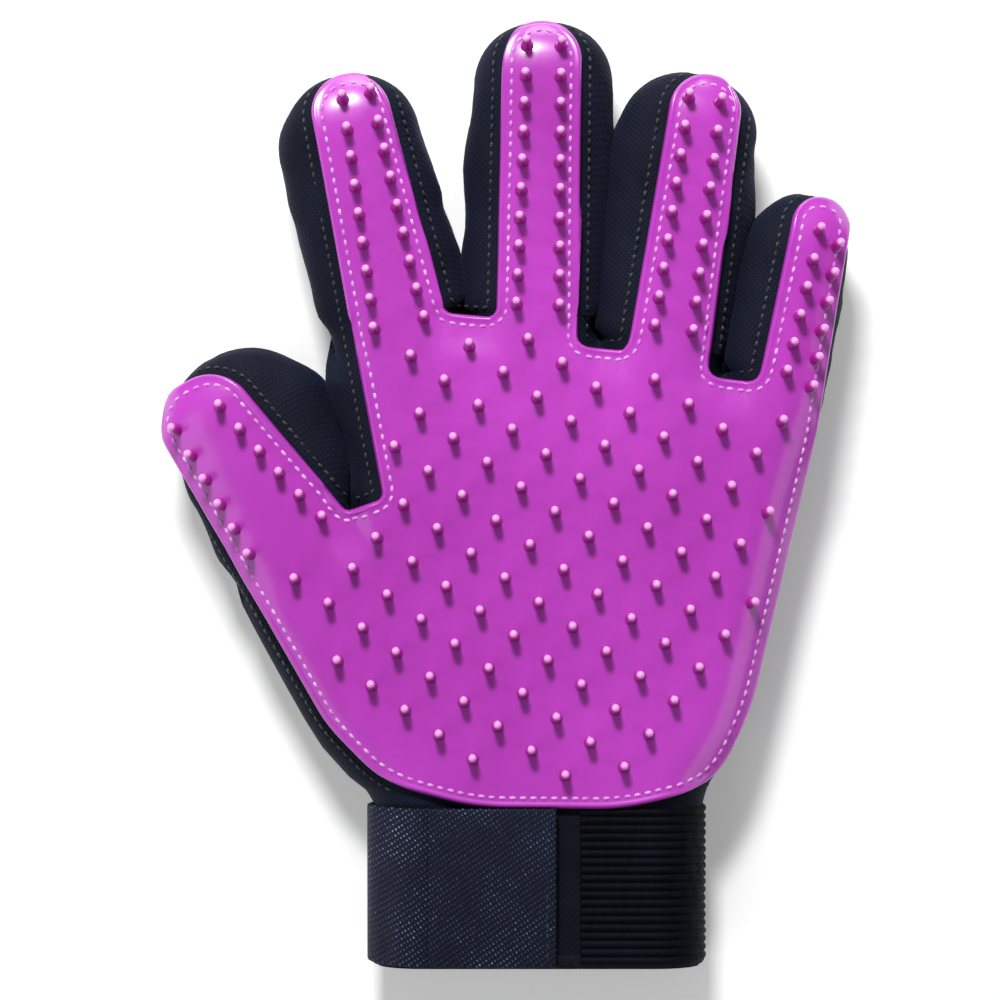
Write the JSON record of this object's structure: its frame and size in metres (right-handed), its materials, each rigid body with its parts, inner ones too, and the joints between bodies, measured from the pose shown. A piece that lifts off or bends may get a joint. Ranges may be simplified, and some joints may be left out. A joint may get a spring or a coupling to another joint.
{
  "type": "grooming glove",
  "caption": "Left-hand pet grooming glove: stretch fabric hand, silicone palm and finger sheet with rounded pins, elastic cuff with a hook-and-loop strap.",
  "frame": {"origin": "on the surface the glove lies on, under the middle of the palm", "axes": "+Y towards the fingertips, +Z out of the palm where the pins stand, +X towards the little finger"},
  "size_m": [0.1783, 0.2375, 0.035],
  "materials": {
    "stretch_fabric": "fine woven stretch fabric, matt",
    "silicone": "moulded silicone, satin",
    "cuff_fabric": "plain weave, matt",
    "hem_binding": "folded binding, matt",
    "ribbed_elastic": "ribbed woven elastic, matt",
    "loop_tape": "brushed loop tape, matt",
    "strap_tape": "twill tape, matt",
    "hook_tape": "hook tape, matt"
  },
  "bodies": {
    "hand": {"palm_panel": "stretch_fabric", "back_panel": "stretch_fabric", "thumb_gusset": "stretch_fabric", "palm_sheet": "silicone", "palm_sheet_sides": "silicone", "cuff_band": "cuff_fabric", "cuff_hem": "hem_binding", "elastic_panel": "ribbed_elastic", "loop_patch": "loop_tape", "strap_anchor": "strap_tape"},
    "strap": {"strap_flap": "strap_tape", "hook_patch": "hook_tape"},
    "index_base": {"index_sleeve_lower": "stretch_fabric", "index_sheet_lower": "silicone"},
    "index_end": {"index_sleeve_upper": "stretch_fabric", "index_sheet_upper": "silicone"},
    "middle_base": {"middle_sleeve_lower": "stretch_fabric", "middle_sheet_lower": "silicone"},
    "middle_end": {"middle_sleeve_upper": "stretch_fabric", "middle_sheet_upper": "silicone"},
    "ring_base": {"ring_sleeve_lower": "stretch_fabric", "ring_sheet_lower": "silicone"},
    "ring_end": {"ring_sleeve_upper": "stretch_fabric", "ring_sheet_upper": "silicone"},
    "little_base": {"little_sleeve_lower": "stretch_fabric", "little_sheet_lower": "silicone"},
    "little_end": {"little_sleeve_upper": "stretch_fabric", "little_sheet_upper": "silicone"},
    "thumb_base": {"thumb_sleeve_lower": "stretch_fabric", "thumb_sheet_lower": "silicone"},
    "thumb_end": {"thumb_sleeve_upper": "stretch_fabric", "thumb_sheet_upper": "silicone"}
  },
  "joints": [
    {"name": "index_base_bend", "type": "hinge", "parent": "hand", "child": "index_base", "pos_m": [-0.035, 0.067, 0.0295], "axis": [0.9751, 0.2215, 0], "range_deg": [0, 60]},
    {"name": "index_middle_bend", "type": "hinge", "parent": "index_base", "child": "index_end", "pos_m": [-0.04147, 0.09547, 0.0295], "axis": [0.9751, 0.2215, 0], "range_deg": [0, 65]},
    {"name": "middle_base_bend", "type": "hinge", "parent": "hand", "child": "middle_base", "pos_m": [-0.0004, 0.0685, 0.0295], "axis": [0.9998, -0.0209, 0], "range_deg": [0, 60]},
    {"name": "middle_middle_bend", "type": "hinge", "parent": "middle_base", "child": "middle_end", "pos_m": [0.00036, 0.10499, 0.0295], "axis": [0.9998, -0.0209, 0], "range_deg": [0, 65]},
    {"name": "ring_base_bend", "type": "hinge", "parent": "hand", "child": "ring_base", "pos_m": [0.032, 0.0605, 0.0295], "axis": [0.9903, -0.1392, 0], "range_deg": [0, 60]},
    {"name": "ring_middle_bend", "type": "hinge", "parent": "ring_base", "child": "ring_end", "pos_m": [0.03606, 0.08942, 0.0295], "axis": [0.9903, -0.1392, 0], "range_deg": [0, 65]},
    {"name": "little_base_bend", "type": "hinge", "parent": "hand", "child": "little_base", "pos_m": [0.061, 0.0525, 0.0295], "axis": [0.9877, -0.1564, 0], "range_deg": [0, 60]},
    {"name": "little_middle_bend", "type": "hinge", "parent": "little_base", "child": "little_end", "pos_m": [0.06443, 0.07413, 0.0295], "axis": [0.9877, -0.1564, 0], "range_deg": [0, 60]},
    {"name": "thumb_base_bend", "type": "hinge", "parent": "hand", "child": "thumb_base", "pos_m": [-0.061, 0.009, 0.0295], "axis": [0.8829, 0.4695, 0], "range_deg": [0, 45]},
    {"name": "thumb_middle_bend", "type": "hinge", "parent": "thumb_base", "child": "thumb_end", "pos_m": [-0.07128, 0.02834, 0.0295], "axis": [0.8829, 0.4695, 0], "range_deg": [0, 55]},
    {"name": "strap_fold", "type": "hinge", "parent": "hand", "child": "strap", "pos_m": [-0.027, -0.0745, 0.0286], "axis": [0, -1, 0], "range_deg": [0, 150]}
  ]
}
